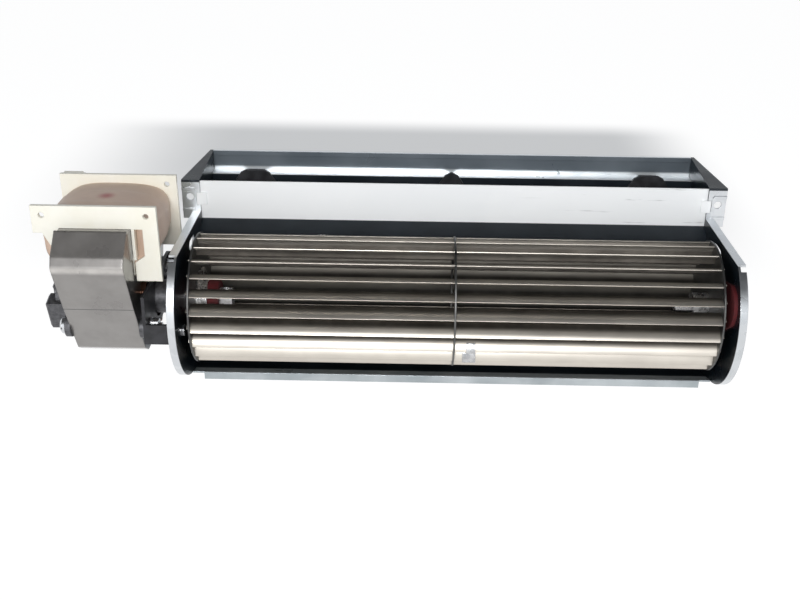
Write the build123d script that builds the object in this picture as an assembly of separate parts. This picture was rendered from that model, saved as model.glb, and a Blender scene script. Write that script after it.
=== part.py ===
from build123d import *
import math
import os

# Cross-flow fan with a shaded-pole motor on its left end.
# X runs along the shaft with the motor at -X, +Y points to the outlet side, +Z is up.
# Every outline is drawn about the shaft's axis; the finished pieces are then moved so that
# the origin is the centre of the base hole pattern, on the plane that the fan stands on.

# Impeller
IMPELLER_RADIUS = 30.0
IMPELLER_LENGTH = 236.0
DISC_THICKNESS = 0.8
BLADE_COUNT = 22
BLADE_INNER_RADIUS = 22.6
BLADE_THICKNESS = 0.5
BLADE_CAMBER_RADIUS = 8.0
BLADE_LEAN_DEG = 9.0
BLADE_RIM = 0.6             # disc edge left outside the blades
BLADE_TAB_LENGTH = 0.9      # how far a blade's tab stands out of the end disc
CENTRE_DISC_BORE_RADIUS = 20.0
TAB_SHARE = (0.22, 0.78)
CARRIER_RADIUS = 14.0
CARRIER_COLLAR = 1.5
CARRIER_LENGTH = 4.2
HUB_HEAD_THICKNESS = 1.2

# Shaft, hubs and bearings
SHAFT_RADIUS = 3.0
RUNNING_CLEARANCE = 0.03
SEAT_CLEARANCE = 0.02
SLOT_CLEARANCE = 0.1
HUB_RUBBER_RADIUS = 8.0
HUB_RUBBER_LIP = 1.6        # how far the rubber's lips reach over the disc
HUB_RUBBER_LENGTH = 9.0
HUB_BOSS_RADIUS = 4.6
BUSH_RADIUS = 6.0
BUSH_LENGTH = 8.0
DAMPER_RADIUS = 11.0
DAMPER_LIP = 2.2
DAMPER_LIP_THICKNESS = 1.6
SLEEVE_LENGTH = 5.0

# Housing
SHEET = 0.8                 # scroll and tongue sheets
PLATE = 1.0                 # end plates
DISC_TO_PLATE = 4.0         # running space between impeller and end plate
INLET_RADIUS = 36.5
LIP_WIDTH = 2.4
TOP_FLANGE_WIDTH = 3.0
DUCT_FLANGE_WIDTH = 7.8
FOOT_WIDTH = 12.0
FOOT_DROP = 5.0             # how far the foot lies below the inlet's lowest point
NECK_HEIGHT = 29.0          # top edge of the end plates before the outlet
DUCT_FRONT_Y = 37.5
DUCT_DEPTH = 39.5
DUCT_TOP_Z = 44.4
DUCT_RISE = 2.6             # how much higher the rear wall is than the front one
DUCT_BEND_Z = 25.0
LEDGE_DEPTH = 6.6
LEDGE_Z = 36.9
SCROLL_FRONT_Y = -8.0
HEM_HEIGHT = 3.6
HEM_CUT = 5.5                # relief at the hem's ends, from the end plates
ARC_END_Y = -8.0
SCROLL_LOW_Y = 24.0
SCROLL_RAISE = 0.2          # scroll sheet above the plane that the fan stands on
TONGUE_GAP = 3.4
FOOT_START_Y = 8.0
FOOT_FLANGE_START_Y = 14.0
FOOT_END_Y = 62.0
FOOT_HOLE_RADIUS = 2.25
FOOT_HOLE_SPACING = 28.0
OUTLET_HOLE_RADIUS = 1.8
OUTLET_HOLE_Z = 36.0
NOTCH = 2.0                 # relief at the inlet's upper end, where two folds meet
CREASE = 0.6
TAB_HALF = 4.0
NECK_HOLE_LENGTH = 12.0
NECK_HOLE_WIDTH = 4.6
NECK_HOLE_Y = 10.6
SHAFT_HOLE_RADIUS = 9.0
BRACKET_HOLE_Z = 7.0
RIVET_RADIUS = 1.6
RIVET_HEAD_RADIUS = 2.6
RIVET_HEAD_HEIGHT = 0.9
SCROLL_RISE_RADIUS = 38.0
RIM_HEIGHT = 2.4
BRACE_THICKNESS = 1.5
BRACE_INSET = 22.0          # end braces' middle, from the end plate
BRACES = ((-1, 20.0), (0, 12.0), (1, 20.0))
BRACE_DROP = 12.0
BRACE_RISE = 2.4
BRACE_RIVET_RADIUS = 1.1
DAMPER_ARM = (-21.5, 10.0)   # far end of the damper's arm, which stops it from turning
DAMPER_ARM_RADIUS = 9.5

# Motor
STACK = 31.0
MOTOR_GAP = 17.9            # end plate to lamination stack
BORE_RADIUS = 15.6
ROTOR_RADIUS = 15.2
CORE_BAR_HEIGHT = 13.0
CORE_BAR_Z = 35.2
WINDOW_HALF = 22.9
WINDOW_FLOOR_Z = 19.4
COIL_WIDTH = 50.0
COIL_HEIGHT = 27.6
FLANGE_THICKNESS = 2.0
BOBBIN_WALL = 1.4
BRIDGE_THICKNESS = 2.5
CUP_WALL = 1.8
CUP_DEPTH = 9.0
CUP_END = 2.0
BUSH_DEPTH = 8.5            # how deep each motor bush sits in its cup
SHAFT_ROOM = 0.6
BRACKET_SHEET = 1.5
BRACKET_HALF_WIDTH = 27.0
BRACKET_HALF_HEIGHT = 11.5
BRACKET_LEG_GAP = 2.0        # the front leg stays below the shaft
SCREW_RADIUS = 2.0
SCREW_Y = 20.0
SCREW_Z = 6.0
CORE_BOTTOM = ((12.0, -22.0), (17.0, -18.7))
CORE_SIDE = ((30.5, 8.0), (40.2, 30.0), (38.0, 34.8), (27.2, 45.0))
CORE_BAR_END = 29.0
CORE_CORNER_RADIUS = 2.5
SHADING_RADIUS = 1.1
SHADING_CIRCLE_RADIUS = 18.0
SHADING_ANGLES = ((150, 118), (330, 298))
FLANGE_HALF_WIDTH = 27.0
FLANGE_TOP_Z = 51.9
FLANGE_LEG_Z = 17.5
TERMINAL_THICKNESS = 0.8
TERMINAL_WIDTH = 6.3
TERMINAL_EDGE = 1.2
TERMINAL_LENGTH = 9.0
FLANGE_LOBE_Z = 39.5
TERMINAL_BLOCK_Z = 36.5
TERMINAL_HEIGHTS = (40.0, 47.0)
TERMINAL_BLOCK_DEPTH = 6.0
BRIDGE_EYE = 5.2
RESERVOIR_HALF = 10.0
RESERVOIR_BELOW = 12.0
RESERVOIR_ABOVE = 2.7
RESERVOIR_LENGTH = 12.8
SCREW_HEAD_RADIUS = 3.9
SCREW_HEAD_HEIGHT = 2.6
SCREW_SLOT_DEPTH = 1.2
SCREW_SLOT_WIDTH = 1.0
SCREW_BEYOND = 1.5
NUT_THICKNESS = 3.2
NUT_FLATS = 7.0
WASHER_RADIUS = 4.2
WASHER_THICKNESS = 0.8
SHAFT_BEYOND = 2.0          # shaft past the rear bearing cup
SHAFT_SHORT = 1.5           # shaft ends this far inside the hub
ROTOR_SHORT = 1.0           # rotor stack is this much shorter than the stator at each end
ROTOR_RING = 3.0
RING_OUTER_RADIUS = 14.2
RING_INNER_RADIUS = 9.2
THRUST_RADIUS = 4.4
END_PLAY = 0.2

# Worked out from the values above
DISC_FACE = IMPELLER_LENGTH / 2
PLATE_INNER = DISC_FACE + DISC_TO_PLATE
PLATE_OUTER = PLATE_INNER + PLATE
BLADE_OUTER_RADIUS = IMPELLER_RADIUS - BLADE_RIM
DUCT_REAR_Y = DUCT_FRONT_Y + DUCT_DEPTH
THROAT_REAR_Y = DUCT_REAR_Y - LEDGE_DEPTH
BASE_DROP = INLET_RADIUS + FOOT_DROP
SCROLL_LOW_Z = -BASE_DROP + SHEET + SCROLL_RAISE
SCROLL_FRONT_Z = -math.sqrt(INLET_RADIUS ** 2 - SCROLL_FRONT_Y ** 2) + SHEET / 2
CORE_FACE = PLATE_OUTER + MOTOR_GAP
CORE_BACK = CORE_FACE + STACK
CORE_MIDDLE = CORE_FACE + STACK / 2
FOOT_X = PLATE_OUTER + FOOT_WIDTH / 2 + 0.5
FOOT_Y = (FOOT_FLANGE_START_Y + FOOT_END_Y) / 2
OUTLET_X = PLATE_OUTER + DUCT_FLANGE_WIDTH / 2
BORE_FIT = SHAFT_RADIUS + SEAT_CLEARANCE
CORE_TOP_Z = CORE_BAR_Z + CORE_BAR_HEIGHT / 2


def slab(face, x_start, x_end):
    """A flat outline drawn in (y, z), made solid between two places along the shaft."""
    low, high = sorted((x_start, x_end))
    return Pos(low, 0, 0) * extrude(Plane.YZ * face, high - low, dir=(1, 0, 0))


def disc(radius, x_start, x_end, y=0.0, z=0.0):
    return slab(Pos(y, z) * Circle(radius), x_start, x_end)


def tube(outer, inner, x_start, x_end, y=0.0, z=0.0):
    return slab(Pos(y, z) * (Circle(outer) - Circle(inner)), x_start, x_end)


def block(x_range, y_range, z_range):
    ranges = (x_range, y_range, z_range)
    size = [abs(end - start) for start, end in ranges]
    middle = [(end + start) / 2 for start, end in ranges]
    return Pos(*middle) * Box(*size)


def polygon(points):
    return make_face(Polyline(*points, close=True))


def mirrored(points):
    """The outline whose right half is given, closed over the line y = 0."""
    return [(-y, z) for y, z in reversed(points)] + list(points)


# ---------------------------------------------------------------- impeller

def blade_centre():
    """Centre of the blade's camber circle, which bulges away from the turning direction."""
    lean = math.radians(BLADE_LEAN_DEG)
    inner = Vector(BLADE_INNER_RADIUS, 0)
    outer = Vector(BLADE_OUTER_RADIUS * math.cos(lean), BLADE_OUTER_RADIUS * math.sin(lean))
    chord = outer - inner
    rise = math.sqrt(BLADE_CAMBER_RADIUS ** 2 - (chord.length / 2) ** 2)
    side = Vector(-chord.Y, chord.X).normalized()
    return (inner + outer) * 0.5 + side * rise, inner, outer


def blade_section(thickness, start_share=0.0, end_share=1.0):
    """Part of the curved blade section, as shares of the way from inner to outer edge."""
    centre, inner, outer = blade_centre()
    first = math.degrees(math.atan2(inner.Y - centre.Y, inner.X - centre.X))
    last = math.degrees(math.atan2(outer.Y - centre.Y, outer.X - centre.X))
    start = first + (last - first) * start_share
    sweep_angle = (last - first) * (end_share - start_share)
    arcs = []
    for radius in (BLADE_CAMBER_RADIUS - thickness / 2, BLADE_CAMBER_RADIUS + thickness / 2):
        arcs.append(CenterArc(centre, radius, start, sweep_angle))
    ends = [Line(arcs[0] @ 0, arcs[1] @ 0), Line(arcs[0] @ 1, arcs[1] @ 1)]
    return make_face(arcs + ends)


def one_blade():
    """A curved strip with a narrower tab at each end, which the end discs hold."""
    body = slab(blade_section(BLADE_THICKNESS), -DISC_FACE + DISC_THICKNESS,
                DISC_FACE - DISC_THICKNESS)
    tab = slab(blade_section(BLADE_THICKNESS, *TAB_SHARE), -DISC_FACE - BLADE_TAB_LENGTH,
               DISC_FACE + BLADE_TAB_LENGTH)
    return body + tab


def around(shape):
    """Copies of a shape at every blade's place round the shaft."""
    step = 360 / BLADE_COUNT
    return [Rot(number * step, 0, 0) * shape for number in range(BLADE_COUNT)]


def impeller_blades():
    return Compound(children=around(one_blade()))


def slotted_disc(x_start, x_end, bore, shares, extra):
    """A flat disc with a curved slot for every blade."""
    section = blade_section(BLADE_THICKNESS + 2 * SLOT_CLEARANCE, shares[0] - extra, shares[1] + extra)
    face = Circle(IMPELLER_RADIUS) - Circle(bore)
    for number in range(BLADE_COUNT):
        face -= Rot(0, 0, number * 360 / BLADE_COUNT) * section
    return slab(face, x_start, x_end)


def motor_end_disc():
    return slotted_disc(-DISC_FACE, -DISC_FACE + DISC_THICKNESS,
                        HUB_RUBBER_RADIUS - HUB_RUBBER_LIP + SEAT_CLEARANCE, TAB_SHARE, 0.02)


def bearing_end_disc():
    return slotted_disc(DISC_FACE - DISC_THICKNESS, DISC_FACE,
                        HUB_BOSS_RADIUS - 1 + SEAT_CLEARANCE, TAB_SHARE, 0.02)


def centre_disc():
    return slotted_disc(-DISC_THICKNESS / 2, DISC_THICKNESS / 2, CENTRE_DISC_BORE_RADIUS,
                        (0.0, 1.0), 0.02)


def hub_rubber():
    """Silicone hub that grips the motor-side disc and takes up the motor's hum."""
    face = -DISC_FACE
    lip = tube(HUB_RUBBER_RADIUS, HUB_BOSS_RADIUS + SEAT_CLEARANCE, face - 1.6, face)
    neck = tube(HUB_RUBBER_RADIUS - HUB_RUBBER_LIP, HUB_BOSS_RADIUS + SEAT_CLEARANCE,
                face, face + DISC_THICKNESS)
    barrel = tube(HUB_RUBBER_RADIUS, HUB_BOSS_RADIUS + SEAT_CLEARANCE, face + DISC_THICKNESS,
                  face + DISC_THICKNESS + HUB_RUBBER_LENGTH)
    return lip + neck + barrel


def hub_carrier():
    """Pressed steel collar on the disc's inner face, round the rubber."""
    start = -DISC_FACE + DISC_THICKNESS
    seat = HUB_RUBBER_RADIUS + SEAT_CLEARANCE
    flange = tube(CARRIER_RADIUS, seat, start, start + DISC_THICKNESS)
    return flange + tube(seat + CARRIER_COLLAR, seat, start, start + CARRIER_LENGTH)


HUB_END = -DISC_FACE + DISC_THICKNESS + HUB_RUBBER_LENGTH + 6.0


def hub_boss():
    """Turned steel boss in the rubber, clamped on the motor's shaft by a grub screw."""
    start = -DISC_FACE - 1.6
    boss = tube(HUB_BOSS_RADIUS, BORE_FIT, start, HUB_END)
    head = tube(HUB_BOSS_RADIUS + 1.6, BORE_FIT, start - HUB_HEAD_THICKNESS, start)
    screw_hole = Pos(HUB_END - 3, 0, HUB_BOSS_RADIUS / 2 + 2) * Cylinder(1.5, HUB_BOSS_RADIUS + 2)
    return boss + head - screw_hole


def grub_screw():
    length = HUB_BOSS_RADIUS - SHAFT_RADIUS
    screw = Cylinder(1.5 - SEAT_CLEARANCE, length) - Pos(0, 0, length / 2) * Box(3, 0.5, 1)
    return Pos(HUB_END - 3, 0, SHAFT_RADIUS + length / 2) * screw


STUB_START = DISC_FACE - DISC_THICKNESS - 15.0
STUB_END = PLATE_OUTER + 6.0


def stub_boss():
    """Steel boss riveted in the bearing-side disc, which carries the stub shaft."""
    inside = DISC_FACE - DISC_THICKNESS
    boss = tube(HUB_BOSS_RADIUS + 1.4, BORE_FIT, inside - 7, inside)
    spigot = tube(HUB_BOSS_RADIUS - 1, BORE_FIT, inside, DISC_FACE)
    rolled = tube(HUB_BOSS_RADIUS, BORE_FIT, DISC_FACE, DISC_FACE + 0.8)
    return boss + spigot + rolled


def stub_shaft():
    shaft = disc(SHAFT_RADIUS, STUB_START, STUB_END)
    return chamfer(shaft.edges().filter_by(GeomType.CIRCLE), 0.5)


def balance_clip():
    """Spring clips pinched on single blades where the impeller was balanced."""
    clips = []
    for number, place, length in ((13, 4.0, 6.0), (12, 5.5, 4.0), (3, -64.0, 5.0)):
        wrap = blade_section(BLADE_THICKNESS + 1.0, 0.52, 1.06)
        gap = blade_section(BLADE_THICKNESS + 2 * SEAT_CLEARANCE, -0.1, 1.0)
        clip = slab(wrap, place, place + length) - slab(gap, place - 1, place + length + 1)
        clips.append(Rot(number * 360 / BLADE_COUNT, 0, 0) * clip)
    return Compound(children=clips)


# ---------------------------------------------------------------- housing

def plate_outline(inset=0.0):
    """Side view of the housing: round inlet, neck, outlet duct, scroll and flat foot."""
    radius = INLET_RADIUS - inset
    neck = NECK_HEIGHT - inset
    start = 180 - math.degrees(math.asin(neck / radius))
    end = 270 + math.degrees(math.asin(ARC_END_Y / radius))
    arc = CenterArc((0, 0), radius, start, end - start)
    floor = -BASE_DROP + inset
    back = DUCT_REAR_Y + SHEET - inset
    front = DUCT_FRONT_Y - SHEET + inset
    slant = inset * (math.sqrt(2) - 1)
    rise = back + inset - FOOT_END_Y
    path = Polyline(arc @ 1, (FOOT_START_Y + slant, floor), (FOOT_END_Y - slant, floor),
                    (back, -BASE_DROP + rise + slant), (back, DUCT_TOP_Z + DUCT_RISE - inset),
                    (front, DUCT_TOP_Z - inset), (front, neck), arc @ 0)
    return make_face([arc] + path.edges())


def plate_flanges(side):
    """The edges folded outwards: a narrow lip round the inlet, wider flanges elsewhere."""
    rim = plate_outline() - plate_outline(PLATE)
    neck_y = -math.sqrt(INLET_RADIUS ** 2 - NECK_HEIGHT ** 2)
    inner = side * PLATE_INNER
    reach = (side * PLATE_OUTER, side * (PLATE_OUTER + FOOT_WIDTH))
    front = DUCT_FRONT_Y - SHEET
    lip = slab(rim, inner, side * (PLATE_OUTER + LIP_WIDTH))
    lip -= block(reach, (front + PLATE, DUCT_REAR_Y + 2 * SHEET), (-BASE_DROP + PLATE, 2 * DUCT_TOP_Z))
    lip -= block(reach, (neck_y - NOTCH, neck_y + NOTCH), (NECK_HEIGHT - 2 * NOTCH, NECK_HEIGHT + 1))
    neck = slab(rim, inner, side * (PLATE_OUTER + TOP_FLANGE_WIDTH))
    neck &= block((0, 2 * reach[1]), (neck_y + NOTCH, front), (NECK_HEIGHT - PLATE, NECK_HEIGHT))
    foot = slab(rim, inner, side * (PLATE_OUTER + FOOT_WIDTH))
    foot &= block((0, 2 * reach[1]), (FOOT_FLANGE_START_Y, FOOT_END_Y), (-BASE_DROP, -BASE_DROP + PLATE))
    return lip + neck + foot + duct_flange(side) + duct_rim(side, rim)


def duct_flange(side):
    """Joggled tab beside the outlet's front wall, for fixing the fan behind a panel."""
    front = DUCT_FRONT_Y - SHEET
    low, top = NECK_HEIGHT - 4.0, DUCT_TOP_Z - 0.4
    tab = block((side * PLATE_INNER, side * (PLATE_OUTER + DUCT_FLANGE_WIDTH)),
                (front, front + PLATE), (low, top))
    across = (side * (PLATE_OUTER + 1.5), side * (PLATE_OUTER + DUCT_FLANGE_WIDTH))
    for height in (low + 4.5, top - 4.0):
        tab += block(across, (front - CREASE, front), (height - CREASE, height + CREASE))
    return tab


def duct_rim(side, rim):
    """Top edge of the duct's side, folded outwards and tapering towards the rear wall."""
    inner, narrow = side * PLATE_INNER, side * (PLATE_OUTER + CREASE)
    wide = side * (PLATE_OUTER + DUCT_FLANGE_WIDTH)
    front, rear = DUCT_FRONT_Y - SHEET, DUCT_REAR_Y + SHEET
    plan = polygon([(inner, front), (wide, front), (wide, front + PLATE), (narrow, rear), (inner, rear)])
    above = Pos(0, 0, DUCT_TOP_Z - 2 * PLATE) * extrude(plan, DUCT_RISE + 4 * PLATE, dir=(0, 0, 1))
    return slab(rim, inner, wide) & above


TAB_OUT = PLATE + 0.8


def tab_places():
    """Where the sheets' tabs pass through the end plates: (y range, z range) of each."""
    rear = (THROAT_REAR_Y, THROAT_REAR_Y + SHEET)
    front = (DUCT_FRONT_Y - SHEET, DUCT_FRONT_Y)
    floor = (SCROLL_LOW_Z - SHEET, SCROLL_LOW_Z)
    return {
        "scroll": [((SCROLL_LOW_Y - TAB_HALF, SCROLL_LOW_Y + TAB_HALF), floor),
                   (rear, (5.0, 5.0 + 2 * TAB_HALF)),
                   (rear, (LEDGE_Z - 5 - 2 * TAB_HALF, LEDGE_Z - 5))],
        "tongue": [(front, (DUCT_BEND_Z + 7, DUCT_BEND_Z + 7 + 2 * TAB_HALF - 2))],
    }


def sheet_tabs(name, side):
    """Tabs of one sheet that pass through the end plate on one side."""
    x_range = (side * (PLATE_INNER - 3), side * (PLATE_INNER + TAB_OUT))
    return [block(x_range, y_range, z_range) for y_range, z_range in tab_places()[name]]


def tab_slots(side):
    """Slots in an end plate for the tabs of both sheets."""
    slots = []
    for places in tab_places().values():
        for y_range, z_range in places:
            slots.append(block((side * (PLATE_INNER - 1), side * (PLATE_OUTER + 1)),
                               (y_range[0] - SLOT_CLEARANCE, y_range[1] + SLOT_CLEARANCE),
                               (z_range[0] - SLOT_CLEARANCE, z_range[1] + SLOT_CLEARANCE)))
    return slots


def flange_holes(side):
    """Fixing holes in the outlet flange and in the foot of one end plate."""
    outlet = (side * OUTLET_X, DUCT_FRONT_Y, OUTLET_HOLE_Z)
    holes = [Pos(*outlet) * Rot(90, 0, 0) * Cylinder(OUTLET_HOLE_RADIUS, 4 * PLATE)]
    for step in (-0.5, 0.5):
        foot = (side * FOOT_X, FOOT_Y + step * FOOT_HOLE_SPACING, -BASE_DROP)
        holes.append(Pos(*foot) * Cylinder(FOOT_HOLE_RADIUS, 4 * PLATE))
    return holes


def end_plate(side, more_holes):
    """Folded end plate with its flanges, slots and mounting holes."""
    face = plate_outline() - more_holes
    face -= Pos(NECK_HOLE_Y, NECK_HEIGHT - 6.2) * SlotOverall(NECK_HOLE_LENGTH, NECK_HOLE_WIDTH)
    plate = slab(face, side * PLATE_INNER, side * PLATE_OUTER) + plate_flanges(side)
    return plate - tab_slots(side) - flange_holes(side)


def bearing_side_plate():
    return end_plate(1, [Circle(DAMPER_RADIUS + SEAT_CLEARANCE)])


BRACKET_HOLE_Y = BRACKET_HALF_WIDTH - 6.0


def bracket_places():
    return [(-BRACKET_HOLE_Y, -BRACKET_HOLE_Z), (BRACKET_HOLE_Y, -BRACKET_HOLE_Z),
            (BRACKET_HOLE_Y, BRACKET_HOLE_Z)]


def motor_side_plate():
    holes = [Circle(SHAFT_HOLE_RADIUS)]
    for y, z in bracket_places():
        holes.append(Pos(y, z) * Circle(RIVET_RADIUS + SEAT_CLEARANCE))
    return end_plate(-1, holes)


def scroll_line(shift):
    """The scroll's inner line (shift 0) or its outer one (shift = sheet thickness)."""
    reach = SCROLL_LOW_Y - SCROLL_FRONT_Y
    drop = SCROLL_FRONT_Z - SCROLL_LOW_Z
    flat_radius = (reach ** 2 + drop ** 2) / (2 * drop)
    centre = (SCROLL_LOW_Y, SCROLL_LOW_Z + flat_radius)
    sweep = math.degrees(math.asin(reach / flat_radius))
    floor = CenterArc(centre, flat_radius + shift, 270 - sweep, sweep)
    rise_y = THROAT_REAR_Y - SCROLL_RISE_RADIUS
    rise_centre = (rise_y, SCROLL_LOW_Z + SCROLL_RISE_RADIUS)
    level = Line(floor @ 1, (rise_y, SCROLL_LOW_Z - shift))
    rise = CenterArc(rise_centre, SCROLL_RISE_RADIUS + shift, 270, 90)
    return floor, level, rise


def scroll_sheet():
    """One folded sheet: front hem, scroll, throat, ledge and hemmed rear wall."""
    inner = scroll_line(0)
    outer = scroll_line(SHEET)
    top = DUCT_TOP_Z + DUCT_RISE
    start = inner[0] @ 0
    hem = Polyline(start, (start.X - SHEET, start.Y), (start.X - SHEET, start.Y - HEM_HEIGHT),
                   (start.X, start.Y - HEM_HEIGHT), outer[0] @ 0)
    throat = THROAT_REAR_Y
    rear = DUCT_REAR_Y
    wall = Polyline(inner[2] @ 1, (throat, LEDGE_Z), (rear, LEDGE_Z), (rear, top - RIM_HEIGHT),
                    (rear - SHEET, top - RIM_HEIGHT), (rear - SHEET, top), (rear + SHEET, top),
                    (rear + SHEET, LEDGE_Z - SHEET), (throat + SHEET, LEDGE_Z - SHEET), outer[2] @ 1)
    face = make_face(hem.edges() + list(inner) + list(outer) + wall.edges())
    sheet = slab(face, -PLATE_INNER, PLATE_INNER)
    for side in (-1, 1):
        sheet -= block((side * (PLATE_INNER - HEM_CUT), side * (PLATE_INNER + 1)),
                       (start.X - 2 * SHEET, start.X), (start.Y - 2 * HEM_HEIGHT, start.Y + 1))
    return sheet + sheet_tabs("scroll", -1) + sheet_tabs("scroll", 1)


def brace_middle(side):
    return side * (PLATE_INNER - BRACE_INSET)


def throat_braces():
    """Black arch-topped braces riveted to the throat wall, with a lip over the ledge."""
    braces = []
    for side, width in BRACES:
        low, top = LEDGE_Z - BRACE_DROP, LEDGE_Z + BRACE_RISE
        half, arch = width / 2, BRACE_RISE + 2 * BRACE_THICKNESS
        outline = polygon([(-half, low), (half, low), (half, top - arch), (half - arch / 2, top - arch / 4),
                           (half - arch, top), (arch - half, top), (arch / 2 - half, top - arch / 4),
                           (-half, top - arch)])
        outline -= Pos(0, LEDGE_Z - BRACE_DROP / 2) * Circle(BRACE_RIVET_RADIUS + SEAT_CLEARANCE)
        plate = along_y(outline, THROAT_REAR_Y - BRACE_THICKNESS, THROAT_REAR_Y)
        lip = block((arch - half, half - arch), (THROAT_REAR_Y, THROAT_REAR_Y + LEDGE_DEPTH / 2),
                    (LEDGE_Z, LEDGE_Z + BRACE_THICKNESS))
        braces.append(Pos(brace_middle(side), 0, 0) * (plate + lip))
    return Compound(children=braces)


def brace_rivets():
    """Rivets that hold the braces, through the throat wall."""
    face = THROAT_REAR_Y - BRACE_THICKNESS
    rivets = []
    for side, width in BRACES:
        head = Circle(2 * BRACE_RIVET_RADIUS)
        shank = Circle(BRACE_RIVET_RADIUS)
        rivet = along_y(head, face - 0.8, face) + along_y(shank, face, THROAT_REAR_Y)
        rivets.append(Pos(brace_middle(side), 0, LEDGE_Z - BRACE_DROP / 2) * rivet)
    return Compound(children=rivets)


def tongue_line(shift):
    """Front wall of the outlet, folded towards the impeller and back under as a tongue."""
    gap = IMPELLER_RADIUS + TONGUE_GAP
    tip_angle = math.radians(36)
    low_angle = math.radians(17)
    tip = (gap * math.cos(tip_angle), gap * math.sin(tip_angle))
    low = ((gap + 1.5) * math.cos(low_angle), (gap + 1.5) * math.sin(low_angle))
    return [(DUCT_FRONT_Y, DUCT_TOP_Z - 0.6), (DUCT_FRONT_Y, DUCT_BEND_Z), tip, low]


def tongue_sheet():
    path = Polyline(*tongue_line(0))
    ribbon = offset(path, SHEET, side=Side.LEFT, closed=True)
    face = make_face(ribbon.edges()) if not isinstance(ribbon, Face) else ribbon
    sheet = slab(face, -PLATE_INNER, PLATE_INNER)
    return sheet + sheet_tabs("tongue", -1) + sheet_tabs("tongue", 1)


def bearing_damper():
    """Silicone mount in the end plate, which holds the bush; its arm keeps it from turning."""
    bore = Circle(BUSH_RADIUS + SEAT_CLEARANCE)
    round_lip = Circle(DAMPER_RADIUS + DAMPER_LIP)
    arm_end = Pos(*DAMPER_ARM) * Circle(DAMPER_ARM_RADIUS)
    arm = make_hull(round_lip.edges() + arm_end.edges())
    core = slab(Circle(DAMPER_RADIUS) - bore, PLATE_INNER, PLATE_OUTER)
    inner = slab(arm - bore, PLATE_INNER - DAMPER_LIP_THICKNESS, PLATE_INNER)
    outer = slab(round_lip - bore, PLATE_OUTER, PLATE_OUTER + DAMPER_LIP_THICKNESS)
    sleeve = slab(Circle(BUSH_RADIUS + DAMPER_LIP) - bore, PLATE_OUTER, PLATE_OUTER + SLEEVE_LENGTH)
    return core + inner + outer + sleeve


def bush(x_start, x_end):
    ring = tube(BUSH_RADIUS, SHAFT_RADIUS + RUNNING_CLEARANCE, x_start, x_end)
    rim = ring.edges().filter_by(GeomType.CIRCLE).filter_by(lambda edge: edge.radius > SHAFT_RADIUS + 1)
    return chamfer(rim, 0.6)


def bearing_bush():
    return bush(PLATE_OUTER + SLEEVE_LENGTH - 1 - BUSH_LENGTH + 2, PLATE_OUTER + SLEEVE_LENGTH - 1)


# ---------------------------------------------------------------- motor


def core_outline():
    """Rear half of the stator's outline; the front half mirrors it."""
    return list(CORE_BOTTOM + CORE_SIDE)


def stator_core():
    """Stack of U-shaped laminations round the rotor, open at the top for the coil bar."""
    face = polygon(mirrored(core_outline()))
    waist = CORE_SIDE[0][1]
    corners = face.vertices().filter_by(lambda corner: abs(corner.Y - waist) > 1)
    face = fillet(corners, CORE_CORNER_RADIUS)
    top = CORE_SIDE[-1][1] + 1
    bar_low = CORE_BAR_Z - CORE_BAR_HEIGHT / 2 - SEAT_CLEARANCE
    half = WINDOW_HALF
    window = polygon([(-half, top), (-half, WINDOW_FLOOR_Z), (half, WINDOW_FLOOR_Z), (half, top)])
    seat = CORE_BAR_END + SEAT_CLEARANCE
    notch = polygon([(-seat, top), (-seat, bar_low), (seat, bar_low), (seat, top)])
    cuts = window + notch + Circle(BORE_RADIUS)
    for y, z in screw_places():
        cuts += Pos(y, z) * Circle(SCREW_RADIUS + SLOT_CLEARANCE)
    for y, z in shading_places():
        cuts += Pos(y, z) * Circle(SHADING_RADIUS + SEAT_CLEARANCE)
    return slab(face - cuts, -CORE_BACK, -CORE_FACE)


def coil_core():
    """Laminated bar through the coil, which closes the stator's magnetic path."""
    half = CORE_BAR_HEIGHT / 2
    return block((-CORE_BACK, -CORE_FACE), (-CORE_BAR_END, CORE_BAR_END),
                 (CORE_BAR_Z - half, CORE_BAR_Z + half))


def screw_places():
    return [(-SCREW_Y, -SCREW_Z), (SCREW_Y, SCREW_Z)]


def polar(radius, angle):
    return radius * math.cos(math.radians(angle)), radius * math.sin(math.radians(angle))


def shading_places():
    return [polar(SHADING_CIRCLE_RADIUS, angle) for pair in SHADING_ANGLES for angle in pair]


def shading_rings():
    """Closed copper loops round one horn of each pole."""
    rings = []
    for pair in SHADING_ANGLES:
        ends = [polar(SHADING_CIRCLE_RADIUS, angle) for angle in pair]
        length = math.dist(*ends)
        middle = ((ends[0][0] + ends[1][0]) / 2, (ends[0][1] + ends[1][1]) / 2)
        turn = math.degrees(math.atan2(ends[1][1] - ends[0][1], ends[1][0] - ends[0][0]))
        link = Pos(*middle) * Rot(0, 0, turn) * SlotCenterToCenter(length, 2 * SHADING_RADIUS)
        ring = [disc(SHADING_RADIUS, -CORE_BACK, -CORE_FACE, y, z) for y, z in ends]
        ring.append(slab(link, -CORE_BACK - 2 * SHADING_RADIUS, -CORE_BACK))
        ring.append(slab(link, -CORE_FACE, -CORE_FACE + 2 * SHADING_RADIUS))
        rings.append(ring[0] + ring[1:])
    return Compound(children=rings)


FLANGE_LEFT = CORE_MIDDLE + FLANGE_HALF_WIDTH
FLANGE_RIGHT = CORE_MIDDLE - FLANGE_HALF_WIDTH
FLANGE_Y = WINDOW_HALF - 0.4


def coil_box(grow):
    """Section of the bar's tube in (x, z), grown on all sides, as width and height."""
    return STACK + 2 * grow, CORE_BAR_HEIGHT + 2 * grow


def along_y(face, y_start, y_end):
    """An outline drawn in (x, z), made solid between two places along Y."""
    return Pos(0, y_start, 0) * extrude(Plane.XZ * face, y_end - y_start, dir=(0, 1, 0))


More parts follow.
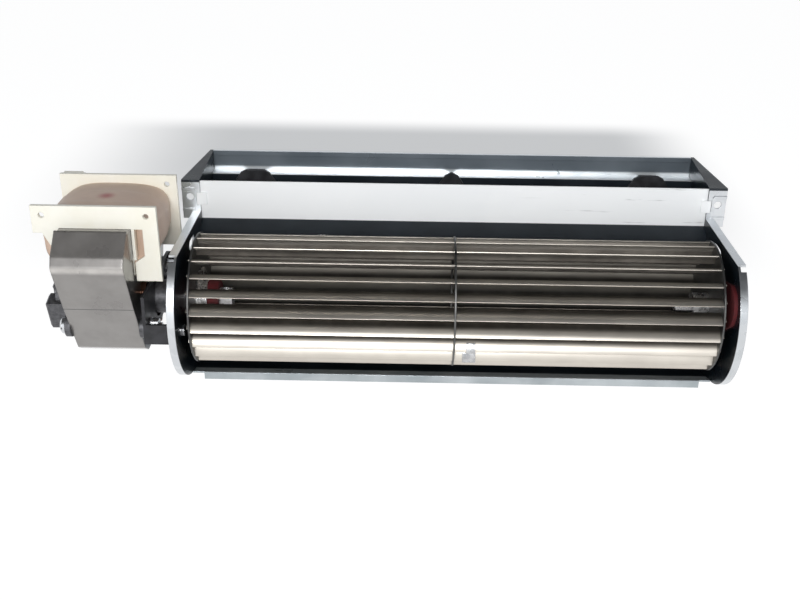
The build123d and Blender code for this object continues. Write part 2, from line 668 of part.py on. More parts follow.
def bobbin_flange(y_start, y_end):
    """Flat flange with two legs astride the core, and tie holes in its upper corners."""
    left, right = -FLANGE_LEFT, -FLANGE_RIGHT
    core_left = -CORE_BACK - SLOT_CLEARANCE
    core_right = -CORE_FACE + SLOT_CLEARANCE
    floor = WINDOW_FLOOR_Z + 0.8
    hook_x, hook_low, hook_high = core_right + 5.0, CORE_BAR_Z - 6.0, CORE_BAR_Z + 6.5
    outline = polygon([(left, FLANGE_TOP_Z), (right, FLANGE_TOP_Z), (right + 0.5, FLANGE_LEG_Z),
                       (core_right + 0.6, FLANGE_LEG_Z), (core_right + 0.6, hook_low - 3.0),
                       (hook_x, hook_low), (hook_x, hook_high), (core_right, hook_high),
                       (core_right, floor), (core_left, floor), (core_left - 0.8, CORE_BAR_Z - 8),
                       (left + 4.0, FLANGE_LOBE_Z), (left, FLANGE_LOBE_Z)])
    holes = [Pos(side * (FLANGE_HALF_WIDTH - 4.5) - CORE_MIDDLE, FLANGE_TOP_Z - 4.3) * Circle(1.3)
             for side in (-1, 1)]
    return along_y(outline - holes, y_start, y_end)


def bobbin():
    """Moulded coil former: a square tube round the bar between two flanges."""
    bar = Pos(-CORE_MIDDLE, CORE_BAR_Z) * Rectangle(*coil_box(SLOT_CLEARANCE))
    tube_outline = Pos(-CORE_MIDDLE, CORE_BAR_Z) * Rectangle(*coil_box(BOBBIN_WALL))
    body = along_y(tube_outline, -FLANGE_Y, FLANGE_Y)
    body += bobbin_flange(-FLANGE_Y, -FLANGE_Y + FLANGE_THICKNESS)
    body += bobbin_flange(FLANGE_Y - FLANGE_THICKNESS, FLANGE_Y)
    block_x = (-FLANGE_LEFT, -FLANGE_LEFT + TERMINAL_WIDTH + 2 * TERMINAL_EDGE)
    body += block(block_x, (FLANGE_Y - FLANGE_THICKNESS, FLANGE_Y + TERMINAL_BLOCK_DEPTH),
                  (TERMINAL_BLOCK_Z, FLANGE_TOP_Z - TERMINAL_EDGE))
    body -= along_y(bar, -FLANGE_Y - 1, FLANGE_Y + 1)
    for z in TERMINAL_HEIGHTS:
        body -= terminal_blade(z, SEAT_CLEARANCE)
    return body


def coil_winding():
    """The wound and taped coil, rounded over its corners."""
    outline = Pos(-CORE_MIDDLE, CORE_BAR_Z) * RectangleRounded(COIL_WIDTH, COIL_HEIGHT, 12.0)
    inner = Pos(-CORE_MIDDLE, CORE_BAR_Z) * Rectangle(*coil_box(BOBBIN_WALL + SEAT_CLEARANCE))
    reach = FLANGE_Y - FLANGE_THICKNESS - SEAT_CLEARANCE
    coil = along_y(outline, -reach, reach)
    return coil - along_y(inner, -reach - 1, reach + 1)


TERMINAL_X = -FLANGE_LEFT + TERMINAL_EDGE + TERMINAL_WIDTH / 2


def terminal_blade(z, grow=0.0):
    half = TERMINAL_THICKNESS / 2 + grow
    wide = TERMINAL_WIDTH / 2 + grow
    back = FLANGE_Y + TERMINAL_BLOCK_DEPTH
    return block((TERMINAL_X - wide, TERMINAL_X + wide), (FLANGE_Y - grow, back + TERMINAL_LENGTH),
                 (z - half, z + half))


def spade_terminals():
    blades = []
    back = FLANGE_Y + TERMINAL_BLOCK_DEPTH
    for z in TERMINAL_HEIGHTS:
        blade = terminal_blade(z)
        tip = blade.edges().filter_by(Axis.Z).filter_by(lambda edge: edge.center().Y > back)
        blade = chamfer(tip, 1.4)
        hole = Pos(TERMINAL_X, back + TERMINAL_LENGTH - 4, z) * Cylinder(0.9, 4)
        blades.append(blade - hole)
    return Compound(children=blades)


CUP_RADIUS = BUSH_RADIUS + CUP_WALL


def bridge(face_x, out):
    """Die-cast bearing bridge: two eyes, a diagonal bar and a cup for the bush."""
    circles = [Pos(y, z) * Circle(BRIDGE_EYE) for y, z in screw_places()]
    circles.append(Circle(CUP_RADIUS + BRIDGE_THICKNESS))
    outline = make_hull([edge for circle in circles for edge in circle.edges()])
    back = face_x + out * BRIDGE_THICKNESS
    end = face_x + out * (CUP_DEPTH + CUP_END)
    body = slab(outline, face_x, back) + disc(CUP_RADIUS, face_x, end)
    body -= disc(BUSH_RADIUS + SEAT_CLEARANCE, face_x - out, face_x + out * BUSH_DEPTH)
    body -= disc(SHAFT_RADIUS + SHAFT_ROOM, face_x - out, end + out)
    for y, z in screw_places():
        body -= disc(SCREW_RADIUS + SLOT_CLEARANCE, face_x - out, back + out, y, z)
    return body


def inner_bridge():
    return bridge(-CORE_FACE, 1)


def outer_bridge():
    """The rear bridge also carries the oil reservoir, cast below its bearing cup."""
    turn = math.degrees(math.atan2(SCREW_Z, SCREW_Y))
    face = -CORE_BACK - BRIDGE_THICKNESS
    middle = (RESERVOIR_ABOVE - RESERVOIR_BELOW) / 2
    height = RESERVOIR_ABOVE + RESERVOIR_BELOW
    outline = Rot(0, 0, turn) * Pos(0, middle) * Rectangle(2 * RESERVOIR_HALF, height)
    reservoir = slab(outline, face, face - RESERVOIR_LENGTH)
    rim = reservoir.edges().group_by(Axis.X)[0]
    reservoir = chamfer(rim, CUP_WALL / 2)
    reservoir -= disc(CUP_RADIUS, face + 1, -CORE_BACK - CUP_DEPTH - CUP_END)
    reservoir -= disc(SHAFT_RADIUS + SHAFT_ROOM, face, face - 2 * RESERVOIR_LENGTH)
    return bridge(-CORE_BACK, -1) + reservoir


def motor_bushes():
    inner_end = -CORE_FACE + BUSH_DEPTH
    outer_end = -CORE_BACK - BUSH_DEPTH
    return Compound(children=[bush(inner_end - BUSH_LENGTH, inner_end),
                              bush(outer_end, outer_end + BUSH_LENGTH)])


BRACKET_FACE = CORE_FACE - BRIDGE_THICKNESS


def motor_bracket():
    """Channel of black sheet that carries the motor clear of the end plate."""
    half, height = BRACKET_HALF_WIDTH, BRACKET_HALF_HEIGHT
    web_x = (-BRACKET_FACE, -BRACKET_FACE + BRACKET_SHEET)
    body = block(web_x, (-half, half), (-height, height))
    for side in (-1, 1):
        leg = sorted((side * half, side * (half - BRACKET_SHEET)))
        foot = sorted((side * half, side * (half - 11.0)))
        top = height if side > 0 else -BRACKET_LEG_GAP
        body += block((-BRACKET_FACE, -PLATE_OUTER), leg, (-height, top))
        body += block((-PLATE_OUTER - BRACKET_SHEET, -PLATE_OUTER), foot, (-height, top))
    body -= disc(CUP_RADIUS + 1.5, -BRACKET_FACE - 1, -BRACKET_FACE + 3)
    for y, z in screw_places():
        body -= disc(SCREW_RADIUS + SLOT_CLEARANCE, -BRACKET_FACE - 1, -BRACKET_FACE + 3, y, z)
    for y, z in bracket_places():
        body -= disc(RIVET_RADIUS + SEAT_CLEARANCE, -PLATE_OUTER - 3, -PLATE_OUTER + 1, y, z)
    return body


def bracket_rivets():
    """Rivets through the bracket's feet and the end plate, with a closed end inside."""
    rivets = []
    foot = -PLATE_OUTER - BRACKET_SHEET
    for y, z in bracket_places():
        shank = disc(RIVET_RADIUS, foot, -PLATE_INNER, y, z)
        head = disc(RIVET_HEAD_RADIUS, foot - RIVET_HEAD_HEIGHT, foot, y, z)
        closed = disc(RIVET_HEAD_RADIUS, -PLATE_INNER, -PLATE_INNER + RIVET_HEAD_HEIGHT, y, z)
        rivets.append(shank + head + closed)
    return Compound(children=rivets)


SCREW_HEAD_X = -CORE_BACK - BRIDGE_THICKNESS
NUT_X = -BRACKET_FACE + BRACKET_SHEET


def through_screws():
    screws = []
    tip = NUT_X + WASHER_THICKNESS + NUT_THICKNESS + SCREW_BEYOND
    top = SCREW_HEAD_X - SCREW_HEAD_HEIGHT
    for y, z in screw_places():
        shank = disc(SCREW_RADIUS, SCREW_HEAD_X, tip, y, z)
        head = disc(SCREW_HEAD_RADIUS, top, SCREW_HEAD_X, y, z)
        rim = head.edges().filter_by(GeomType.CIRCLE).sort_by(Axis.X)[0]
        head = chamfer(rim, SCREW_HEAD_HEIGHT / 3)
        slot = block((top, top + SCREW_SLOT_DEPTH), (y - SCREW_HEAD_RADIUS, y + SCREW_HEAD_RADIUS),
                     (z - SCREW_SLOT_WIDTH / 2, z + SCREW_SLOT_WIDTH / 2))
        screws.append(shank + head - slot)
    return Compound(children=screws)


def through_nuts():
    nuts = []
    start = NUT_X + WASHER_THICKNESS
    for y, z in screw_places():
        hexagon = RegularPolygon(NUT_FLATS / 2, 6, major_radius=False) - Circle(SCREW_RADIUS + SEAT_CLEARANCE)
        nuts.append(slab(Pos(y, z) * hexagon, start, start + NUT_THICKNESS))
    return Compound(children=nuts)


def lock_washers():
    inner = SCREW_RADIUS + SLOT_CLEARANCE
    washers = [tube(WASHER_RADIUS, inner, NUT_X, NUT_X + WASHER_THICKNESS, y, z) for y, z in screw_places()]
    return Compound(children=washers)


# ---------------------------------------------------------------- motor's turning pieces

SHAFT_START = -CORE_BACK - CUP_DEPTH - CUP_END - SHAFT_BEYOND
SHAFT_TIP = HUB_END - SHAFT_SHORT


def motor_shaft():
    shaft = disc(SHAFT_RADIUS, SHAFT_START, SHAFT_TIP)
    return chamfer(shaft.edges().filter_by(GeomType.CIRCLE), 0.5)


def rotor_cage():
    """Squirrel-cage rotor: laminations with cast end rings that lie below their edge."""
    start, end = -CORE_BACK + ROTOR_SHORT + ROTOR_RING, -CORE_FACE - ROTOR_SHORT - ROTOR_RING
    stack = tube(ROTOR_RADIUS, BORE_FIT, start, end)
    rings = tube(RING_OUTER_RADIUS, RING_INNER_RADIUS, start - ROTOR_RING, end + ROTOR_RING)
    return stack + rings


def thrust_washers():
    """Washers on the shaft between the rotor and each bush, which set its end play."""
    inner_start = -CORE_FACE - ROTOR_SHORT - ROTOR_RING
    outer_end = -CORE_BACK + ROTOR_SHORT + ROTOR_RING
    room = BUSH_DEPTH - BUSH_LENGTH - END_PLAY
    inner = tube(THRUST_RADIUS, BORE_FIT, inner_start, -CORE_FACE + room)
    outer = tube(THRUST_RADIUS, BORE_FIT, -CORE_BACK - room, outer_end)
    return Compound(children=[inner, outer])


PIECES = {
    "impeller_blades": impeller_blades,
    "motor_end_disc": motor_end_disc,
    "bearing_end_disc": bearing_end_disc,
    "centre_disc": centre_disc,
    "hub_rubber": hub_rubber,
    "hub_carrier": hub_carrier,
    "hub_boss": hub_boss,
    "grub_screw": grub_screw,
    "stub_boss": stub_boss,
    "stub_shaft": stub_shaft,
    "balance_clips": balance_clip,
    "motor_shaft": motor_shaft,
    "rotor_cage": rotor_cage,
    "thrust_washers": thrust_washers,
    "scroll_sheet": scroll_sheet,
    "throat_braces": throat_braces,
    "brace_rivets": brace_rivets,
    "tongue_sheet": tongue_sheet,
    "motor_side_plate": motor_side_plate,
    "bearing_side_plate": bearing_side_plate,
    "bearing_damper": bearing_damper,
    "bearing_bush": bearing_bush,
    "stator_core": stator_core,
    "coil_core": coil_core,
    "shading_rings": shading_rings,
    "bobbin": bobbin,
    "coil_winding": coil_winding,
    "spade_terminals": spade_terminals,
    "inner_bridge": inner_bridge,
    "outer_bridge": outer_bridge,
    "motor_bushes": motor_bushes,
    "motor_bracket": motor_bracket,
    "bracket_rivets": bracket_rivets,
    "through_screws": through_screws,
    "through_nuts": through_nuts,
    "lock_washers": lock_washers,
}

os.makedirs("parts", exist_ok=True)
TO_BASE = Pos(0, -FOOT_Y, BASE_DROP)
for name, make in PIECES.items():
    export_step(TO_BASE * make(), f"parts/{name}.step")
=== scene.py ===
# %% [markdown]
# # A cross flow fan, dressed for its portrait
# The fan's solids are already there as a fixed frame of metal and plastic parts. This lesson gives
# every surface its finish, lays a taped coil over the plain one, and sets up a plain studio.
# Everything is in metres, with +X along the shaft away from the motor, +Y towards the outlet and
# +Z up.

# %% Load the fan
import math

import bmesh
import bpy
from mathutils import Matrix, Vector


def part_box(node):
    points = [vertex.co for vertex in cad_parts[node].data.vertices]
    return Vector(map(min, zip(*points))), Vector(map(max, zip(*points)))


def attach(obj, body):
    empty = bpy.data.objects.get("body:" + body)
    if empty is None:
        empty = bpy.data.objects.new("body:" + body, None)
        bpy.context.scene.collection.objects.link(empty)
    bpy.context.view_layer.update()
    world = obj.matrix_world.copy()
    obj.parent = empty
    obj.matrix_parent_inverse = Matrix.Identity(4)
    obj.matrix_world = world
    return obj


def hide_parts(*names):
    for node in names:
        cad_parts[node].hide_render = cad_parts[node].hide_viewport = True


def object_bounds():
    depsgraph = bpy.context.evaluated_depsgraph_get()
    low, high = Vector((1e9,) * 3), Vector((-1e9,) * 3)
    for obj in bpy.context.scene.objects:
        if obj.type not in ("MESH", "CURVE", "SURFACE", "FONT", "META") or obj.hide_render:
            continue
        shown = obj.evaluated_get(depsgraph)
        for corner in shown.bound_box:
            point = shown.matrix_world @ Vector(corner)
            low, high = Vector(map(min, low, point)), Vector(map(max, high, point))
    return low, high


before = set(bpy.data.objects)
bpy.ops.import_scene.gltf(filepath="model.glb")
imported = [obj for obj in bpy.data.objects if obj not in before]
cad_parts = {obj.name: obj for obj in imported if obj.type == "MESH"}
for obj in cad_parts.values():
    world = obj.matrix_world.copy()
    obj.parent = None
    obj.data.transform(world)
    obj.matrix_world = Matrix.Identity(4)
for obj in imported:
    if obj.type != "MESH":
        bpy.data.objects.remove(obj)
solid_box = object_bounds()
HOUSING = "housing"

# %% [markdown]
# ## Reading places from the fan itself
# A dressed model stays true when the fan's size changes if no place is typed in by hand. The
# corners of each node's box give the shaft's height, the motor's middle and the outlet's edges.

# %% Places taken from the nodes
def low(node):
    return Vector(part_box(node)[0])


def high(node):
    return Vector(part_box(node)[1])


def middle(node):
    return (low(node) + high(node)) / 2


shaft = middle("motor_shaft")
wheel = middle("impeller_blades")
MM = 0.001
print("shaft height", round(shaft.z, 4), "wheel middle", [round(v, 4) for v in wheel])

# %% [markdown]
# ## The camera
# A product portrait is taken from a little above and almost square on. A lens of about 48 mm on a
# 36 mm sensor, half a metre away, keeps the end plates' inner faces in view on both sides, which
# a longer lens would flatten. The camera's own axes are built as a matrix, so that its small turn
# and roll are plain numbers.

# %% Camera half a metre from the shaft
CAMERA_DISTANCE = 0.500
CAMERA_TILT = math.radians(25.0)
CAMERA_TURN = math.radians(0.59)
CAMERA_ROLL = math.radians(0.75)
CAMERA_SIDE = -0.020
SENSOR_WIDTH = 36.0         # millimetres, as the lens is
LENS = 48.4

camera_data = bpy.data.cameras.new("portrait_camera")
camera_data.sensor_width = SENSOR_WIDTH
camera_data.lens = LENS
camera = bpy.data.objects.new("portrait_camera", camera_data)
bpy.context.collection.objects.link(camera)
aim = Vector((wheel.x, shaft.y, shaft.z))
back = Vector((0, -math.cos(CAMERA_TILT), math.sin(CAMERA_TILT)))
place = aim + back * CAMERA_DISTANCE + Vector((CAMERA_SIDE, 0, 0))
turn = Matrix.Rotation(CAMERA_TURN, 4, "Z")
pitch = Matrix.Rotation(math.radians(90) - CAMERA_TILT, 4, "X")
roll = Matrix.Rotation(CAMERA_ROLL, 4, "Z")
camera.matrix_world = Matrix.Translation(place) @ turn @ pitch @ roll
bpy.context.scene.camera = camera
print("camera at", [round(v, 3) for v in place])

# %% [markdown]
# ## Building blocks for shaders
# The table, the room and every finish are small graphs of shader nodes. They could be drawn by
# hand in the node editor, but a script can be read, repeated and changed. Two functions start each
# graph: an empty material, and a node with its values set by name.

# %% Helpers: materials and nodes
def node_tree(name):
    """A new material with only its output, ready for shader nodes."""
    material = bpy.data.materials.new(name)
    material.use_nodes = True
    tree = material.node_tree
    tree.nodes.clear()
    output = tree.nodes.new("ShaderNodeOutputMaterial")
    return material, tree, output


def add(tree, kind, **values):
    """Add a node and set its plain properties and input values by name."""
    node = tree.nodes.new(kind)
    for key, value in values.items():
        if key in node.inputs:
            node.inputs[key].default_value = value
        else:
            setattr(node, key, value)
    return node


print("node helpers:", node_tree.__name__, add.__name__)

# %% [markdown]
# ## Masks
# A mask is a value that is 1 where something is and 0 elsewhere. A dark side, a hem or a stain
# could be painted into an image, but a mask worked out from places on the fan stays sharp at any
# distance and moves when the fan changes. The masks here take few steps: one axis of a place, a
# distance from a level, a soft fade between two limits, and a way to join two of them.

# %% Helpers: masks
def axis_of(tree, vector, axis):
    """One axis of a vector."""
    split = tree.nodes.new("ShaderNodeSeparateXYZ")
    tree.links.new(vector, split.inputs[0])
    return split.outputs[axis]


def place_part(tree, coordinates, axis):
    """One axis of a place in the fan's own frame."""
    return axis_of(tree, coordinates.outputs["Object"], axis)


def distance_from(tree, value, level=0.0):
    """How far a value lies from a level, to either side."""
    apart = add(tree, "ShaderNodeMath", operation="SUBTRACT")
    size = add(tree, "ShaderNodeMath", operation="ABSOLUTE")
    apart.inputs[1].default_value = level
    tree.links.new(value, apart.inputs[0])
    tree.links.new(apart.outputs[0], size.inputs[0])
    return size.outputs[0]


def fade(tree, value, start, end):
    """A soft step: 0 before start, 1 after end; reversed when end is the smaller."""
    step = add(tree, "ShaderNodeMapRange", interpolation_type="SMOOTHSTEP")
    step.inputs["From Min"].default_value = min(start, end)
    step.inputs["From Max"].default_value = max(start, end)
    step.inputs["To Min"].default_value = 0.0 if end > start else 1.0
    step.inputs["To Max"].default_value = 1.0 if end > start else 0.0
    tree.links.new(value, step.inputs["Value"])
    return step.outputs["Result"]


def joined(tree, first, second, operation):
    """Two masks in one: MULTIPLY keeps what is in both, MAXIMUM what is in either."""
    both = add(tree, "ShaderNodeMath", operation=operation)
    tree.links.new(first, both.inputs[0])
    tree.links.new(second, both.inputs[1])
    return both.outputs[0]


def scaled(tree, value, share):
    """A value times a fixed share."""
    part = add(tree, "ShaderNodeMath", operation="MULTIPLY")
    part.inputs[1].default_value = share
    tree.links.new(value, part.inputs[0])
    return part.outputs[0]


print("mask helpers:", fade.__name__, joined.__name__, scaled.__name__, distance_from.__name__)

# %% [markdown]
# ## What a mask drives
# A mask turns into a look when it blends two colours or shifts a value such as the roughness. A
# colour ramp could do both, but a mix and a map range say plainly what lies at either end.

# %% Helpers: colours and values from a mask
def mixed(tree, mask, dark, light):
    """A colour that runs from dark to light as the mask runs from 0 to 1."""
    ramp = add(tree, "ShaderNodeMix", data_type="RGBA")
    ramp.inputs[6].default_value = (*dark, 1)
    ramp.inputs[7].default_value = (*light, 1)
    tree.links.new(mask, ramp.inputs[0])
    return ramp.outputs[2]


def ranged(tree, mask, start, end):
    """A value that runs from start to end as the mask runs from 0 to 1."""
    spread = add(tree, "ShaderNodeMapRange")
    spread.inputs["To Min"].default_value = start
    spread.inputs["To Max"].default_value = end
    tree.links.new(mask, spread.inputs["Value"])
    return spread.outputs["Result"]


def blended(tree, first, second, share):
    """Two masks mixed; the share says how much the second one counts."""
    mix = add(tree, "ShaderNodeMix", data_type="FLOAT")
    mix.inputs[0].default_value = share
    tree.links.new(first, mix.inputs[2])
    tree.links.new(second, mix.inputs[3])
    return mix.outputs[0]


print("blending helpers:", mixed.__name__, ranged.__name__, blended.__name__)

# %% [markdown]
# ## The table
# The fan stands on white card. Card that is only lit turns grey near the edges, so this one is
# white to the camera and in reflections through a light path switch, which adds no light. A share
# of its plain paint is kept, so that the fan's shadow stays. Some way behind the fan a soft grey
# band of painted shade is tinted onto the same sheet.

# %% The table
TABLE_REACH = 3.0
TABLE_GAP = 0.0002
TABLE_PAINT = (0.88, 0.88, 0.89)
TABLE_WHITENESS = 0.70      # how much of the seen table is its own white
TABLE_GLOW = 1.29
CARD_WHITE = (1, 1, 1)
# Painted shade: the grey of a soft band on the table behind the fan.
SHADE_GREY = (0.52, 0.53, 0.54)
GREY_BAND = (("X", -0.31, -0.16), ("X", 0.225, 0.14), ("Y", 0.05, 0.30), ("Y", 0.425, 0.375))


def seen_directly(tree):
    """1 where the camera sees a thing itself, in a mirror or through glass, else 0."""
    path = tree.nodes.new("ShaderNodeLightPath")
    either = joined(tree, path.outputs["Is Camera Ray"], path.outputs["Is Glossy Ray"], "MAXIMUM")
    return joined(tree, either, path.outputs["Is Transmission Ray"], "MAXIMUM")


def far_shade(tree):
    """Painted shade behind the fan: 1 in the band, fading to 0 on its four sides."""
    coordinates = tree.nodes.new("ShaderNodeTexCoord")
    sides = [fade(tree, place_part(tree, coordinates, axis), start, end)
             for axis, start, end in GREY_BAND]
    shade = sides[0]
    for side in sides[1:]:
        shade = joined(tree, shade, side, "MULTIPLY")
    return shade


def table_paint(tree, output):
    """Plain paint that looks white when seen, and still keeps some of the shadow."""
    paint = add(tree, "ShaderNodeBsdfDiffuse", Color=(*TABLE_PAINT, 1))
    white = add(tree, "ShaderNodeEmission", Strength=TABLE_GLOW)
    shade = tree.nodes.new("ShaderNodeMixShader")
    tone = mixed(tree, far_shade(tree), CARD_WHITE, SHADE_GREY)
    tree.links.new(tone, white.inputs["Color"])
    tree.links.new(scaled(tree, seen_directly(tree), TABLE_WHITENESS), shade.inputs[0])
    tree.links.new(paint.outputs[0], shade.inputs[1])
    tree.links.new(white.outputs[0], shade.inputs[2])
    tree.links.new(shade.outputs[0], output.inputs["Surface"])


def floor_sheet():
    """A wide sheet just under the fan's feet."""
    mesh = bmesh.new()
    bmesh.ops.create_grid(mesh, x_segments=1, y_segments=1, size=TABLE_REACH)
    data = bpy.data.meshes.new("studio_floor")
    mesh.to_mesh(data)
    mesh.free()
    data.transform(Matrix.Translation((0, 0, solid_box[0][2] - TABLE_GAP)))
    floor = bpy.data.objects.new("studio_floor", data)
    bpy.context.collection.objects.link(floor)
    material, tree, output = node_tree("studio_floor")
    table_paint(tree, output)
    data.materials.append(material)


floor_sheet()
print("table top at", round(solid_box[0][2] - TABLE_GAP, 4), "m")

# %% [markdown]
# ## The room and its lamp
# Bare metal shows what stands round it, so the room matters more than the lamp. This room is
# bright from the table up to 20 degrees and dim from 40 degrees on: sheet that faces the table
# turns white, and sheet that faces the ceiling turns nearly black, as it does on a real table.
# One lamp of modest size stands behind the camera, at almost its angle above the table. It draws a
# soft line along rounded corners and reaches in under the folded flanges.

# %% Room and lamp
ROOM_TINT = (0.94, 0.97, 1.0)
ROOM_BRIGHT = 0.95
ROOM_DIM = 0.07
BRIGHT_BELOW = math.radians(20)
DIM_ABOVE = math.radians(40)
LAMP_HEIGHT = math.radians(23)
LAMP_DISTANCE = 1.15
LAMP_SIDE = -0.06           # share of the distance
LAMP_SIZE = (0.40, 0.18)
LAMP_POWER = 7.2


def lamp(name, place, target, size, power):
    """A rectangular lamp that looks at its target."""
    data = bpy.data.lights.new(name, "AREA")
    data.shape = "RECTANGLE"
    data.size, data.size_y = size
    data.energy = power
    light = bpy.data.objects.new(name, data)
    bpy.context.collection.objects.link(light)
    facing = (Vector(target) - Vector(place)).to_track_quat("-Z", "Y")
    light.matrix_world = Matrix.Translation(place) @ facing.to_matrix().to_4x4()


def room(bright, dim):
    """A world that is bright round the horizon and dim overhead, and white to the camera."""
    world = bpy.data.worlds.new("studio_room")
    bpy.context.scene.world = world
    world.use_nodes = True
    tree = world.node_tree
    sky = tree.nodes["Background"]
    sky.inputs["Color"].default_value = (*ROOM_TINT, 1)
    coordinates = tree.nodes.new("ShaderNodeTexCoord")
    height = axis_of(tree, coordinates.outputs["Generated"], "Z")
    rise = fade(tree, height, math.sin(BRIGHT_BELOW), math.sin(DIM_ABOVE))
    tree.links.new(ranged(tree, rise, bright, dim), sky.inputs["Strength"])
    backdrop = add(tree, "ShaderNodeBackground", Color=(1, 1, 1, 1), Strength=1.0)
    path = tree.nodes.new("ShaderNodeLightPath")
    shade = tree.nodes.new("ShaderNodeMixShader")
    tree.links.new(path.outputs["Is Camera Ray"], shade.inputs[0])
    tree.links.new(sky.outputs[0], shade.inputs[1])
    tree.links.new(backdrop.outputs[0], shade.inputs[2])
    tree.links.new(shade.outputs[0], tree.nodes["World Output"].inputs["Surface"])


bpy.context.scene.view_settings.view_transform = "Standard"
room(ROOM_BRIGHT, ROOM_DIM)
lamp_way = Vector((LAMP_SIDE, -math.cos(LAMP_HEIGHT), math.sin(LAMP_HEIGHT)))
lamp_place = wheel + lamp_way * LAMP_DISTANCE
lamp("front_lamp", lamp_place, wheel, LAMP_SIZE, LAMP_POWER)
print("lamp at", [round(v, 3) for v in lamp_place])

# %% [markdown]
# ## Shared effects
# Bare metal is never one even grey. Four effects return on many parts of this fan, so each is a
# node group built once, and every material places it with its own values. The groups give out a
# value or a normal only; the material decides what it drives. The first one is a cloudy tone:
# patches that are slightly lighter and darker, as hands, air and time leave them.

# %% Effect: cloudy tone
CLOUD_LOW = 0.28            # the part of the noise's range that is spread over 0 to 1
CLOUD_HIGH = 0.72


def new_group(name, inputs, outputs):
    """An empty node group with its named sockets, and the nodes for its two ends."""
    group = bpy.data.node_groups.new(name, "ShaderNodeTree")
    for label, kind, value in inputs:
        socket = group.interface.new_socket(label, in_out="INPUT", socket_type=kind)
        if value is not None:
            socket.default_value = value
    for label, kind in outputs:
        group.interface.new_socket(label, in_out="OUTPUT", socket_type=kind)
    entry = group.nodes.new("NodeGroupInput")
    leave = group.nodes.new("NodeGroupOutput")
    return group, entry, leave


def cloudy_tone_group():
    """Soft patches of tone, from 0 to 1, for colour and roughness."""
    group, entry, leave = new_group("cloudy tone", [
        ("Vector", "NodeSocketVector", None), ("Scale", "NodeSocketFloat", 60.0)],
        [("Fac", "NodeSocketFloat")])
    broad = add(group, "ShaderNodeTexNoise", Detail=3.0, Roughness=0.6)
    group.links.new(entry.outputs["Vector"], broad.inputs["Vector"])
    group.links.new(entry.outputs["Scale"], broad.inputs["Scale"])
    spread = fade(group, broad.outputs["Fac"], CLOUD_LOW, CLOUD_HIGH)
    group.links.new(spread, leave.inputs["Fac"])
    return group


CLOUDY = cloudy_tone_group()
print("effect:", CLOUDY.name)

# %% [markdown]
# Sheet and strip carry fine lines along the way they left the rollers. A picture of brushed metal
# could show them, but noise that is stretched along one axis has no seams and no fixed size.

# %% Effect: rolled streaks
def streaks_group():
    """Fine rolling marks: noise that is stretched along X and tight across it."""
    group, entry, leave = new_group("rolled streaks", [
        ("Vector", "NodeSocketVector", None),
        ("Stretch", "NodeSocketVector", (20.0, 900.0, 900.0))],
        [("Fac", "NodeSocketFloat")])
    scale = add(group, "ShaderNodeVectorMath", operation="MULTIPLY")
    noise = add(group, "ShaderNodeTexNoise", Scale=1.0, Detail=4.0, Roughness=0.65)
    group.links.new(entry.outputs["Vector"], scale.inputs[0])
    group.links.new(entry.outputs["Stretch"], scale.inputs[1])
    group.links.new(scale.outputs["Vector"], noise.inputs["Vector"])
    group.links.new(noise.outputs["Fac"], leave.inputs["Fac"])
    return group


STREAKS = streaks_group()
print("effect:", STREAKS.name)

# %% [markdown]
# Hot-dip zinc sets in crystal flowers. Voronoi cells have that pattern when every cell keeps one
# tone, and a little noise bends their straight edges.

# %% Effect: zinc spangle
WARP_SCALE = 220.0
WARP_REACH = 0.006


def spangle_group():
    """The crystal flowers of hot-dip zinc: flat cells, each with its own tone."""
    group, entry, leave = new_group("zinc spangle", [
        ("Vector", "NodeSocketVector", None), ("Scale", "NodeSocketFloat", 180.0)],
        [("Fac", "NodeSocketFloat")])
    warp = add(group, "ShaderNodeTexNoise", Scale=WARP_SCALE, Detail=2.0)
    shift = add(group, "ShaderNodeVectorMath", operation="MULTIPLY_ADD")
    shift.inputs[1].default_value = (WARP_REACH, WARP_REACH, WARP_REACH)
    cells = add(group, "ShaderNodeTexVoronoi", feature="F1")
    tone = add(group, "ShaderNodeSeparateColor")
    group.links.new(entry.outputs["Vector"], warp.inputs["Vector"])
    group.links.new(warp.outputs["Color"], shift.inputs[0])
    group.links.new(entry.outputs["Vector"], shift.inputs[2])
    group.links.new(shift.outputs["Vector"], cells.inputs["Vector"])
    group.links.new(entry.outputs["Scale"], cells.inputs["Scale"])
    group.links.new(cells.outputs["Color"], tone.inputs["Color"])
    group.links.new(tone.outputs[0], leave.inputs["Fac"])
    return group


SPANGLE = spangle_group()
print("effect:", SPANGLE.name)

# %% [markdown]
# Every folded or punched edge is a little round and catches a thin line of light. Rounding each
# edge of the solids would cost many faces; a bevel normal gives the same line. The finish's own
# fine relief goes through the same group, so that both end in one normal.

# %% Effect: soft edge
BEVEL_SAMPLES = 8
BUMP_DISTANCE = 0.0002
EDGE_RADIUS = 0.0003


def soft_edge_group():
    """The normal of a surface with slightly round edges and fine relief."""
    group, entry, leave = new_group("soft edge", [
        ("Height", "NodeSocketFloat", 0.5), ("Strength", "NodeSocketFloat", 0.2),
        ("Radius", "NodeSocketFloat", EDGE_RADIUS)],
        [("Normal", "NodeSocketVector")])
    rounded = add(group, "ShaderNodeBevel", samples=BEVEL_SAMPLES)
    bump = add(group, "ShaderNodeBump", Distance=BUMP_DISTANCE)
    group.links.new(entry.outputs["Radius"], rounded.inputs["Radius"])
    group.links.new(entry.outputs["Height"], bump.inputs["Height"])
    group.links.new(entry.outputs["Strength"], bump.inputs["Strength"])
    group.links.new(rounded.outputs["Normal"], bump.inputs["Normal"])
    group.links.new(bump.outputs["Normal"], leave.inputs["Normal"])
    return group


SOFT_EDGE = soft_edge_group()
print("effects:", [group.name for group in bpy.data.node_groups])

# %% [markdown]
# ## From effects to finishes
# Every finish starts the same way: a Principled shader, Object coordinates, and one mask that
# blends two close colours and shifts the roughness. The helper below wires that pattern, and
# each finish then only says which effect it uses and how strongly.

